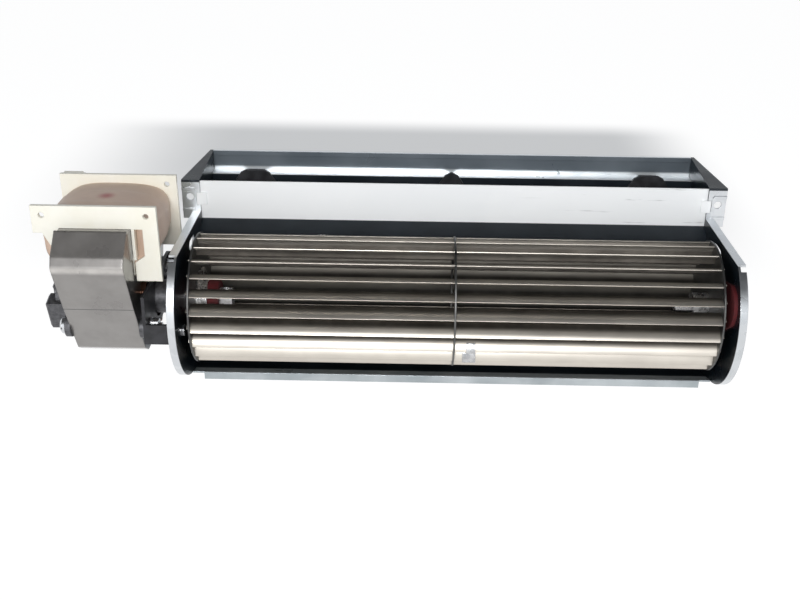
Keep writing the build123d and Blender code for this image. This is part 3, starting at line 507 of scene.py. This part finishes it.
# %% Helper: a finish from one mask
COAT_ROUGHNESS = 0.16


def effect(tree, group, coordinates, **values):
    """Place a shared effect in a material, with its own values."""
    node = tree.nodes.new("ShaderNodeGroup")
    node.node_tree = group
    for key, value in values.items():
        node.inputs[key].default_value = value
    if "Vector" in node.inputs:
        tree.links.new(coordinates.outputs["Object"], node.inputs["Vector"])
    return node


def finish(name, mask_of, dark, light, roughness, metallic,
           bump=0.15, rounding=EDGE_RADIUS, coat=0.0):
    """A material whose one mask blends two colours, shifts the roughness and gives relief."""
    material, tree, output = node_tree(name)
    shader = tree.nodes.new("ShaderNodeBsdfPrincipled")
    shader.inputs["Metallic"].default_value = metallic
    shader.inputs["Coat Weight"].default_value = coat
    shader.inputs["Coat Roughness"].default_value = COAT_ROUGHNESS
    coordinates = tree.nodes.new("ShaderNodeTexCoord")
    mask = mask_of(tree, coordinates)
    tree.links.new(mixed(tree, mask, dark, light), shader.inputs["Base Color"])
    tree.links.new(ranged(tree, mask, *roughness), shader.inputs["Roughness"])
    soft = effect(tree, SOFT_EDGE, coordinates, Strength=bump, Radius=rounding)
    tree.links.new(mask, soft.inputs["Height"])
    tree.links.new(soft.outputs["Normal"], shader.inputs["Normal"])
    tree.links.new(shader.outputs[0], output.inputs["Surface"])
    return material


print("finishes start from the effects", CLOUDY.name, "and", SOFT_EDGE.name)

# %% [markdown]
# ## Grains
# Cast, turned and moulded parts have no direction, so clouds alone will do. Strip and zinc have a
# grain of their own, and a share of clouds over it keeps it from looking printed.

# %% Helpers: grains, and putting a finish on
def cloudy_mask(scale):
    """Clouds alone."""
    def mask(tree, coordinates):
        return effect(tree, CLOUDY, coordinates, Scale=scale).outputs["Fac"]
    return mask


def grain_mask(group, cloud_scale, share, **values):
    """A grain with a share of clouds over it."""
    def mask(tree, coordinates):
        grain = effect(tree, group, coordinates, **values).outputs["Fac"]
        cloud = effect(tree, CLOUDY, coordinates, Scale=cloud_scale).outputs["Fac"]
        return blended(tree, grain, cloud, share)
    return mask


def dress(material, *nodes):
    """Give one finish to some of the fan's nodes."""
    for node in nodes:
        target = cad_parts[node]
        target.data.materials.clear()
        target.data.materials.append(material)


print("nodes to dress:", len(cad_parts))

# %% [markdown]
# ## A second colour over a finish
# Sheet is rarely one finish all over: hands leave stains, and the sheet's inner sides, turned from
# the light, are painted dark as shade. A second material with its own faces would need the sheet
# to be cut up. Here a second colour is laid over the finish wherever a mask says so, and where it
# is thick it hides the bare metal too.

# %% Helper: a second colour
def material_parts(material):
    """A finish's node tree, its shader, its coordinates and what drives its colour."""
    tree = material.node_tree
    shader = next(node for node in tree.nodes if node.type == "BSDF_PRINCIPLED")
    coordinates = next(node for node in tree.nodes if node.type == "TEX_COORD")
    color = shader.inputs["Base Color"].links[0].from_socket
    return tree, shader, coordinates, color


def recolour(material, mask, color_of, bare=None):
    """Lay a second colour over a finish where a mask says so, and cover the bare metal too."""
    tree, shader, coordinates, color = material_parts(material)
    choice = add(tree, "ShaderNodeMix", data_type="RGBA")
    where = mask(tree, coordinates)
    if bare is not None:
        metal = add(tree, "ShaderNodeMix", data_type="FLOAT")
        metal.inputs[2].default_value = shader.inputs["Metallic"].default_value
        metal.inputs[3].default_value = bare
        if shader.inputs["Metallic"].links:
            tree.links.new(shader.inputs["Metallic"].links[0].from_socket, metal.inputs[2])
        tree.links.new(where, metal.inputs[0])
        tree.links.new(metal.outputs[0], shader.inputs["Metallic"])
    tree.links.new(where, choice.inputs[0])
    tree.links.new(color, choice.inputs[6])
    tree.links.new(color_of(tree, coordinates), choice.inputs[7])
    tree.links.new(choice.outputs[2], shader.inputs["Base Color"])


def skin(scale, dark, light):
    """A cloudy colour to lay over a finish."""
    def color(tree, coordinates):
        cloud = effect(tree, CLOUDY, coordinates, Scale=scale).outputs["Fac"]
        return mixed(tree, cloud, dark, light)
    return color


def even_skin(color):
    """One even colour to lay over a finish."""
    def even(tree, coordinates):
        paint = tree.nodes.new("ShaderNodeRGB")
        paint.outputs[0].default_value = (*color, 1)
        return paint.outputs[0]
    return even


# Painted shade: a near-black colour for sheet faces that are turned away from the light.
PAINTED_SHADE = skin(28.0, (0.005, 0.009, 0.013), (0.015, 0.021, 0.028))
SHADED_ZINC = skin(22.0, (0.115, 0.138, 0.160), (0.170, 0.197, 0.222))
DULL_HEM = skin(40.0, (0.36, 0.40, 0.42), (0.54, 0.58, 0.60))
GREY_STAIN = skin(200.0, (0.40, 0.40, 0.41), (0.55, 0.55, 0.56))
print("second colours: painted shade, shaded zinc, dull hem, grey stain")

# %% [markdown]
# ## Galvanised sheet: the front wall
# The housing is folded from zinc-coated steel. The outlet's front wall faces the light and reads
# almost white, with a few scuffs where it was handled; below its bend the tongue slopes in towards
# the wheel and is painted dark as shade. As pure metal the wall would mirror the dark wheel, so
# its zinc is treated as pale, weathered paint with only a little metal in it.

# %% Front wall finish
BEND_DROP = 1.8 * MM        # from the front sheet's middle height down to where the slope starts
BEND_FADE = 0.4 * MM
SCUFF_STRETCH = (26.0, 60.0, 420.0)
SCUFF_LEVEL = (0.60, 0.68)  # only the crests of the noise turn into scuffs
SCUFF_SIDE = (0.02, 0.09)
SCUFF_STRENGTH = 0.7


def tongue_slope(tree, coordinates):
    """The part of the front sheet that bends in towards the wheel."""
    bend = middle("tongue_sheet").z - BEND_DROP
    return fade(tree, place_part(tree, coordinates, "Z"), bend, bend - BEND_FADE)


def scuff_mask(tree, coordinates):
    """A few long scuffs along the right part of the front wall, where it was handled."""
    lines = effect(tree, STREAKS, coordinates, Stretch=SCUFF_STRETCH).outputs["Fac"]
    thin = fade(tree, lines, *SCUFF_LEVEL)
    side = fade(tree, place_part(tree, coordinates, "X"), *SCUFF_SIDE)
    return scaled(tree, joined(tree, thin, side, "MULTIPLY"), SCUFF_STRENGTH)


zinc_front = finish("zinc_front", cloudy_mask(16.0), (0.955, 0.97, 0.98),
                    (0.98, 0.99, 0.995), (0.36, 0.46), 0.06, bump=0.02)
recolour(zinc_front, scuff_mask, GREY_STAIN)
# Painted shade on the tongue's slope below the bend.
recolour(zinc_front, tongue_slope, PAINTED_SHADE, bare=0.2)
dress(zinc_front, "tongue_sheet")
print("tongue slopes in below", round(middle("tongue_sheet").z - BEND_DROP, 4), "m")

# %% [markdown]
# ## Galvanised sheet: the scroll
# One long sheet makes the front hem, the scroll, the ledge and the outlet's rear wall. Outside it
# is bare zinc with faint spangle. Inside, the scroll is painted near-black as shade, and the rear
# wall above the ledge is painted blue-grey as its own shade. The masks follow the shaft and the
# braces' height, so the lines stay on the folds.

# %% Scroll finish
LEDGE = low("throat_braces").z + 12.0 * MM
HEM_RISE = 8.0 * MM


def to_shaft(tree, coordinates):
    """The way from a point straight to the shaft's axis."""
    towards = add(tree, "ShaderNodeVectorMath", operation="SUBTRACT")
    towards.inputs[0].default_value = (0.0, shaft.y, shaft.z)
    across = add(tree, "ShaderNodeVectorMath", operation="MULTIPLY")
    across.inputs[1].default_value = (0.0, 1.0, 1.0)
    tree.links.new(coordinates.outputs["Object"], towards.inputs[1])
    tree.links.new(towards.outputs["Vector"], across.inputs[0])
    return across.outputs["Vector"]


def faces_shaft(tree, coordinates):
    """1 on the side of a sheet that looks at the shaft, 0 on its other side."""
    surface = tree.nodes.new("ShaderNodeNewGeometry")
    facing = add(tree, "ShaderNodeVectorMath", operation="DOT_PRODUCT")
    tree.links.new(to_shaft(tree, coordinates), facing.inputs[0])
    tree.links.new(surface.outputs["True Normal"], facing.inputs[1])
    return fade(tree, facing.outputs["Value"], 0.0, 0.001)


def scroll_inside(tree, coordinates):
    """The scroll's inner side, up to just under the ledge."""
    height = place_part(tree, coordinates, "Z")
    below = fade(tree, height, LEDGE, LEDGE - 0.5 * MM)
    return joined(tree, faces_shaft(tree, coordinates), below, "MULTIPLY")


def rear_wall_inside(tree, coordinates):
    """The outlet's rear wall above the ledge, on its inner side."""
    height = place_part(tree, coordinates, "Z")
    above = fade(tree, height, LEDGE + 1.2 * MM, LEDGE + 2.4 * MM)
    return joined(tree, faces_shaft(tree, coordinates), above, "MULTIPLY")


def front_hem(tree, coordinates):
    """The hem along the scroll's front edge, duller than the sheet behind it."""
    top = low("scroll_sheet").z + HEM_RISE
    lower = fade(tree, place_part(tree, coordinates, "Z"), top, top - 1.0 * MM)
    depth = fade(tree, place_part(tree, coordinates, "Y"), shaft.y + 1.0 * MM, shaft.y - 1.0 * MM)
    return joined(tree, lower, depth, "MULTIPLY")


zinc_scroll = finish("zinc_scroll", grain_mask(SPANGLE, 30.0, 0.5, Scale=150.0),
                     (0.74, 0.78, 0.81), (0.88, 0.91, 0.93), (0.26, 0.38), 0.6, bump=0.03)
# Painted shade: the scroll's inner side is laid near-black.
recolour(zinc_scroll, scroll_inside, PAINTED_SHADE, bare=0.2)
# Painted shade: the rear wall's inner side above the ledge is laid blue-grey.
recolour(zinc_scroll, rear_wall_inside, SHADED_ZINC, bare=0.3)
recolour(zinc_scroll, front_hem, DULL_HEM)
dress(zinc_scroll, "scroll_sheet")
print("ledge at", round(LEDGE, 4), "m")

# %% [markdown]
# ## End plates: two sides, two finishes
# The plates' outer sides and their lips are bare and bright, while their inner sides and the rims
# folded from their tops are painted dark as shade. One material can hold both, because a solid's
# own coordinates tell inside from outside: the mask below is 1 on the inner side and falls to 0
# within a fifth of a millimetre.

# %% End plate finish
def plate_inside(tree, coordinates):
    """The inner side of both end plates, and the top rim that is folded from it."""
    reach = low("bearing_side_plate").x
    away = distance_from(tree, place_part(tree, coordinates, "X"))
    inner = fade(tree, away, reach + 0.2 * MM, reach)
    rim = high("tongue_sheet").z
    upper = fade(tree, place_part(tree, coordinates, "Z"), rim - 0.6 * MM, rim - 0.4 * MM)
    return joined(tree, inner, upper, "MAXIMUM")


zinc_plate = finish("zinc_plate", grain_mask(SPANGLE, 34.0, 0.5, Scale=170.0),
                    (0.56, 0.58, 0.60), (0.72, 0.74, 0.76), (0.24, 0.36), 1.0, bump=0.05)
# Painted shade on the plates' inner sides and top rims.
recolour(zinc_plate, plate_inside, PAINTED_SHADE, bare=0.3)
dress(zinc_plate, "motor_side_plate", "bearing_side_plate")
print("inner sides start", round(low("bearing_side_plate").x, 4), "m from the middle")

# %% [markdown]
# ## The impeller's blades
# The blades are rolled from thin bright strip, so their marks run along the shaft. The metal is a
# warm grey; where a blade faces the pale table it turns cream. The inner part of every blade is
# painted dark as shade, so each one falls off from a bright outer edge to a dark root.

# %% Blade finish
TIP_BRIGHT_DEPTH = 1.8 * MM         # how far in from the tips a blade keeps its bright colour
DULL_FROM = 4.4 * MM


def blade_root_shade(tree, coordinates):
    """Painted shade on the inner part of every blade, out to a bright band along the tips."""
    away = add(tree, "ShaderNodeVectorMath", operation="LENGTH")
    tree.links.new(to_shaft(tree, coordinates), away.inputs[0])
    radius = (high("impeller_blades").z - low("impeller_blades").z) / 2
    return fade(tree, away.outputs["Value"], radius - TIP_BRIGHT_DEPTH, radius - DULL_FROM)


blade_strip = finish("blade_strip", grain_mask(STREAKS, 40.0, 0.35, Stretch=(6.0, 700.0, 700.0)),
                     (0.52, 0.48, 0.43), (0.75, 0.705, 0.63), (0.34, 0.48), 0.9, bump=0.03)
# Painted shade: the blades' inner parts are laid dark.
recolour(blade_strip, blade_root_shade, skin(60.0, (0.130, 0.117, 0.102), (0.235, 0.214, 0.188)))
dress(blade_strip, "impeller_blades")
print("blades dull inside", round(high("impeller_blades").z - shaft.z - DULL_FROM, 4), "m radius")

# %% [markdown]
# ## The impeller's other parts
# The discs are dull sheet steel, the hub and stub are turned and bright, and the soft ring in the
# hub and the one round the bearing are dark-red silicone. All of them are cloudy finishes, because
# none has a direction that shows at this size.

# %% Disc, hub and clip finishes
dress(finish("disc_steel", cloudy_mask(120.0), (0.09, 0.09, 0.09), (0.17, 0.17, 0.165),
             (0.40, 0.55), 1.0, bump=0.05), "motor_end_disc", "bearing_end_disc", "centre_disc")
dress(finish("turned_steel", cloudy_mask(300.0), (0.44, 0.44, 0.45), (0.62, 0.62, 0.63),
             (0.22, 0.36), 1.0, bump=0.04), "hub_boss", "stub_boss", "stub_shaft", "motor_shaft")
dress(finish("red_silicone", cloudy_mask(260.0), (0.060, 0.002, 0.004), (0.100, 0.004, 0.007),
             (0.66, 0.82), 0.0, bump=0.12), "hub_rubber", "bearing_damper")
dress(finish("bright_clip", cloudy_mask(400.0), (0.42, 0.42, 0.43), (0.60, 0.60, 0.60),
             (0.2, 0.3), 1.0, bump=0.03), "balance_clips", "hub_carrier")
print("finishes so far:", len(bpy.data.materials))

# %% [markdown]
# ## The motor's iron core
# The core is a stack of varnished sheets. Modelling each sheet would cost thousands of faces for
# lines that hardly show, so a wave along the shaft with the pitch of one sheet stands for them.
# Three masks lay other colours over it: painted shade on the flat faces of the outer sheets, a
# painted highlight along the rounded corner, and the seam of the stack.

# %% Core finish
LAMINATION_PITCH = 0.5 * MM
SEAM_DROP = 4.0 * MM        # below the stack's middle height
CORNER_DROP = 14.0 * MM     # below the stack's top


def lamination_mask(tree, coordinates):
    """Lines with the pitch of one sheet, mostly hidden under clouds of varnish."""
    count = scaled(tree, place_part(tree, coordinates, "X"), 2 * math.pi / LAMINATION_PITCH)
    wave = add(tree, "ShaderNodeMath", operation="SINE")
    tree.links.new(count, wave.inputs[0])
    cloud = effect(tree, CLOUDY, coordinates, Scale=70.0).outputs["Fac"]
    lines = ranged(tree, wave.outputs[0], 0.0, 1.0)
    return blended(tree, lines, cloud, 0.85)


def core_seam(tree, coordinates):
    """The thin line across the stack where its lower sheets were stamped separately."""
    seam = (low("stator_core").z + high("stator_core").z) / 2 - SEAM_DROP
    apart = distance_from(tree, place_part(tree, coordinates, "Z"), seam)
    return fade(tree, apart, 0.30 * MM, 0.10 * MM)


def core_corner_highlight(tree, coordinates):
    """A painted highlight along the rounded corner of the stack."""
    corner = high("stator_core").z - CORNER_DROP
    apart = distance_from(tree, place_part(tree, coordinates, "Z"), corner)
    front = low("stator_core").y
    outer = fade(tree, place_part(tree, coordinates, "Y"), front + 4.0 * MM, front + 3.0 * MM)
    return joined(tree, fade(tree, apart, 2.6 * MM, 0.2 * MM), outer, "MULTIPLY")


def core_side_shade(tree, coordinates):
    """Painted shade on the flat faces of the stack's outer sheets."""
    surface = tree.nodes.new("ShaderNodeNewGeometry")
    size = distance_from(tree, axis_of(tree, surface.outputs["True Normal"], "X"))
    return fade(tree, size, 0.5, 0.9)


varnished_core = finish("varnished_core", lamination_mask, (0.215, 0.202, 0.192),
                        (0.280, 0.266, 0.253), (0.26, 0.36), 0.42,
                        bump=0.05, rounding=1.2 * MM, coat=0.8)
# Painted highlight: a light band along the stack's rounded corner.
recolour(varnished_core, core_corner_highlight, skin(120.0, (0.46, 0.435, 0.41), (0.60, 0.57, 0.54)))
# Painted shade: the stack's flat end faces are laid dark.
recolour(varnished_core, core_side_shade, skin(50.0, (0.045, 0.043, 0.041), (0.085, 0.081, 0.077)),
         bare=0.3)
recolour(varnished_core, core_seam, skin(300.0, (0.03, 0.03, 0.03), (0.07, 0.07, 0.07)))
dress(varnished_core, "stator_core", "coil_core")
stack = high("stator_core").x - low("stator_core").x
print("sheets in the stack:", round(stack / LAMINATION_PITCH))

# %% [markdown]
# ## The motor's other parts
# The bobbin is moulded in ivory nylon, the bridges are dark castings, the bracket is black sheet,
# and the fasteners are zinc plated. Each takes one cloudy finish; what tells them apart is tone,
# roughness and how metallic they are.

# %% Motor finishes
dress(finish("rotor_iron", cloudy_mask(200.0), (0.20, 0.20, 0.20), (0.34, 0.34, 0.34),
             (0.3, 0.45), 0.9), "rotor_cage")
dress(finish("bare_copper", cloudy_mask(300.0), (0.09, 0.045, 0.03), (0.15, 0.08, 0.055),
             (0.25, 0.4), 1.0), "shading_rings")
dress(finish("sintered_bronze", cloudy_mask(900.0), (0.34, 0.23, 0.12), (0.48, 0.34, 0.19),
             (0.42, 0.55), 0.85), "motor_bushes", "bearing_bush")
dress(finish("ivory_nylon", cloudy_mask(60.0), (0.92, 0.885, 0.76), (0.96, 0.935, 0.84),
             (0.36, 0.46), 0.0, bump=0.04, coat=0.1), "bobbin")
dress(finish("washer_nylon", cloudy_mask(200.0), (0.62, 0.58, 0.46), (0.72, 0.68, 0.56),
             (0.4, 0.5), 0.0), "thrust_washers")
dress(finish("tinned_brass", cloudy_mask(300.0), (0.62, 0.60, 0.55), (0.78, 0.77, 0.73),
             (0.22, 0.34), 1.0), "spade_terminals")
dress(finish("dark_casting", cloudy_mask(500.0), (0.075, 0.075, 0.08), (0.15, 0.15, 0.16),
             (0.4, 0.55), 0.7, bump=0.2), "inner_bridge", "outer_bridge")
# The bracket is black sheet; the throat braces wear the same near-black as painted shade, where
# the outlet is dark.
dress(finish("black_sheet", cloudy_mask(160.0), (0.018, 0.018, 0.02), (0.04, 0.04, 0.045),
             (0.34, 0.5), 0.3, bump=0.06), "motor_bracket", "throat_braces")
dress(finish("zinc_fastener", cloudy_mask(500.0), (0.58, 0.59, 0.61), (0.76, 0.77, 0.79),
             (0.22, 0.34), 1.0, bump=0.05), "through_screws", "through_nuts", "lock_washers",
      "bracket_rivets", "grub_screw", "brace_rivets")
print("finishes:", len(bpy.data.materials))

# %% [markdown]
# ## The taped coil
# The winding is wire under tape. Wire is wound round a square former, so the coil is full in the
# middle and draws in at both flanges, and the tape lies over it in laps that stand up a little at
# their edges. A box with soft corners would miss both. A circle that is drawn out ring by ring
# holds them: each ring is a rounded rectangle, made as a superellipse, whose size follows the
# bulge and the laps, and the last two rings line the hole for the core.

# %% Coil: rings from one superellipse
RING_POINTS = 96
RING_STEPS = 44
COIL_ROUNDNESS = 3.4
HOLE_ROUNDNESS = 9.0
HOLE_ROOM = 2.0 * MM
LAPS = 3
LAP_STEP = 0.014
LAP_LEAN = 0.06
TAPE_INSET = 0.012
FLANGE_DRAW = 0.05
EDGE_DRAW = 0.02
SAG = 0.004


def ring_point(angle, half_width, half_height, roundness):
    """A point of a rounded rectangle, as a superellipse."""
    across, up = math.cos(angle), math.sin(angle)
    share = 2.0 / roundness
    return (half_width * math.copysign(abs(across) ** share, across),
            half_height * math.copysign(abs(up) ** share, up))


def coil_swell(along, angle):
    """How full the coil is from flange to flange (-1 to 1), with the tape's laps."""
    bulge = 1.0 - FLANGE_DRAW * along * along - EDGE_DRAW * along ** 6
    lap = (along * 0.5 + 0.5) * LAPS + LAP_LEAN * math.sin(2 * angle)
    step = LAP_STEP * (lap - math.floor(lap))
    sag = SAG * math.sin(3 * angle + 2.0) * math.cos(2.2 * along)
    return bulge - TAPE_INSET + step + sag


def lay_ring(ring, turn, centre, half, along, roundness, swelling):
    """Move one ring of vertices to its outline between the flanges."""
    for vert in ring:
        swell = coil_swell(along, vert[turn]) if swelling else 1.0
        across, up = ring_point(vert[turn], half.x * swell, half.z * swell, roundness)
        vert.co = (centre.x + across, centre.y + half.y * along, centre.z + up)


def taped_coil():
    """A circle, laid as a rounded rectangle, then drawn out ring by ring and closed inside."""
    centre = middle("coil_winding")
    half = (high("coil_winding") - low("coil_winding")) / 2
    tube = ((high("coil_core") - low("coil_core")) / 2) + Vector((1, 1, 1)) * HOLE_ROOM
    tube.y = half.y
    mesh = bmesh.new()
    turn = mesh.verts.layers.float.new("turn")
    bmesh.ops.create_circle(mesh, segments=RING_POINTS, radius=1.0)
    for vert in mesh.verts:
        vert[turn] = math.atan2(vert.co.y, vert.co.x)
    lay_ring(mesh.verts, turn, centre, half, -1.0, COIL_ROUNDNESS, True)
    start = edges = mesh.edges[:]
    rings = [(half, -1.0 + 2.0 * step / RING_STEPS, COIL_ROUNDNESS, True)
             for step in range(1, RING_STEPS + 1)]
    rings += [(tube, 1.0, HOLE_ROUNDNESS, False), (tube, -1.0, HOLE_ROUNDNESS, False)]
    for size, along, roundness, swelling in rings:
        grown = bmesh.ops.extrude_edge_only(mesh, edges=edges)["geom"]
        edges = [part for part in grown if isinstance(part, bmesh.types.BMEdge)]
        ring = [part for part in grown if isinstance(part, bmesh.types.BMVert)]
        lay_ring(ring, turn, centre, size, along, roundness, swelling)
    bmesh.ops.bridge_loops(mesh, edges=start + edges)
    bmesh.ops.recalc_face_normals(mesh, faces=mesh.faces)
    for face in mesh.faces:
        face.smooth = True
    mesh.verts.layers.float.remove(turn)
    data = bpy.data.meshes.new("taped_coil")
    mesh.to_mesh(data)
    mesh.free()
    piece = bpy.data.objects.new("taped_coil", data)
    bpy.context.collection.objects.link(piece)
    return piece


coil = taped_coil()
print("coil faces:", len(coil.data.polygons))

# %% [markdown]
# ## The tape's finish
# The tape is a thin brown cloth with some gloss, and a red mark is left on its top where varnish
# soaked through. The mark could be a second piece laid on the tape, but it has no thickness of its
# own, so it is a soft patch in the finish: the distance from one point, turned into a mask.

# %% Coil finish
MARK_COLOR = (0.40, 0.055, 0.06)
MARK_RADIUS = 5.5 * MM
MARK_STRENGTH = 0.85


def tape_weave(tree, coordinates):
    """Clouds with a share of fine cloth."""
    cloud = effect(tree, CLOUDY, coordinates, Scale=70.0).outputs["Fac"]
    cloth = effect(tree, STREAKS, coordinates, Stretch=(300.0, 1600.0, 300.0)).outputs["Fac"]
    return blended(tree, cloud, cloth, 0.4)


def top_mark(tree, coordinates):
    """A soft round patch on the coil's top, strongest in its middle."""
    top = middle("coil_winding")
    top.z = high("coil_winding").z
    apart = add(tree, "ShaderNodeVectorMath", operation="DISTANCE")
    apart.inputs[1].default_value = top
    tree.links.new(coordinates.outputs["Object"], apart.inputs[0])
    return scaled(tree, fade(tree, apart.outputs["Value"], MARK_RADIUS, 0.0), MARK_STRENGTH)


coil_tape = finish("coil_tape", tape_weave, (0.55, 0.39, 0.30), (0.69, 0.52, 0.41),
                   (0.38, 0.55), 0.0, bump=0.25, coat=0.12)
recolour(coil_tape, top_mark, even_skin(MARK_COLOR))
coil.data.materials.append(coil_tape)
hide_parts("coil_winding")
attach(coil, HOUSING)
print("coil rides", HOUSING, "with", coil.data.materials[0].name)
